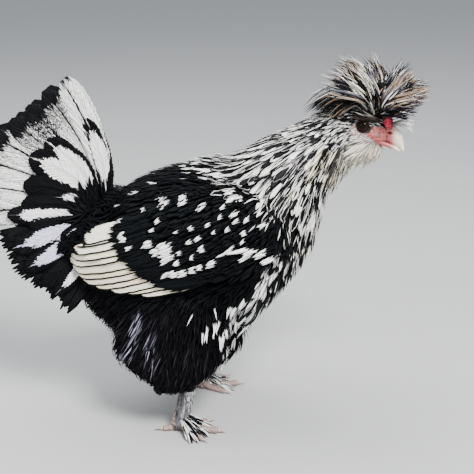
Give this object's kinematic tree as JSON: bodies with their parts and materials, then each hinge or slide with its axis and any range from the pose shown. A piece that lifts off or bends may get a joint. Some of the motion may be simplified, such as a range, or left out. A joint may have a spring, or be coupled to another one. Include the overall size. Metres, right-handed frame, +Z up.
{
  "type": "model chicken",
  "caption": "Life-size standing model of a crested, bearded, feather-legged hen, black and white spangled, as a museum shows, in separate named parts.",
  "frame": {"origin": "on the floor, under the middle of the box round the hen", "axes": "+X the way the hen faces, from tail to bill, +Y its left, +Z up"},
  "size_m": [0.4222, 0.145, 0.3526],
  "materials": {
    "black_feather": "black body feathers with a green gloss and white tips",
    "hackle_feather": "white hackle feathers with a black stripe",
    "crest_feather": "crest feathers streaked black, white and tan",
    "beard_feather": "soft cream beard and muff feathers",
    "bill_horn": "pale horn, satin",
    "comb_flesh": "red fleshy skin",
    "foot_scale": "pale pinkish grey scaled skin",
    "claw_horn": "horn, satin",
    "eye_brown": "dark brown wet eye"
  },
  "bodies": {
    "root": {"beard": "beard_feather", "bill_lower": "bill_horn", "bill_upper": "bill_horn", "claw_left_hind": "claw_horn", "claw_left_inner": "claw_horn", "claw_left_middle": "claw_horn", "claw_left_outer": "claw_horn", "claw_right_hind": "claw_horn", "claw_right_inner": "claw_horn", "claw_right_middle": "claw_horn", "claw_right_outer": "claw_horn", "comb": "comb_flesh", "crest": "crest_feather", "eye_left": "eye_brown", "eye_right": "eye_brown", "foot_left": "foot_scale", "foot_right": "foot_scale", "head": "black_feather", "neck": "hackle_feather", "shank_left": "foot_scale", "shank_right": "foot_scale", "tail": "black_feather", "thigh_left": "black_feather", "thigh_right": "black_feather", "torso": "black_feather", "wing_left": "black_feather", "wing_right": "black_feather"}
  },
  "joints": []
}
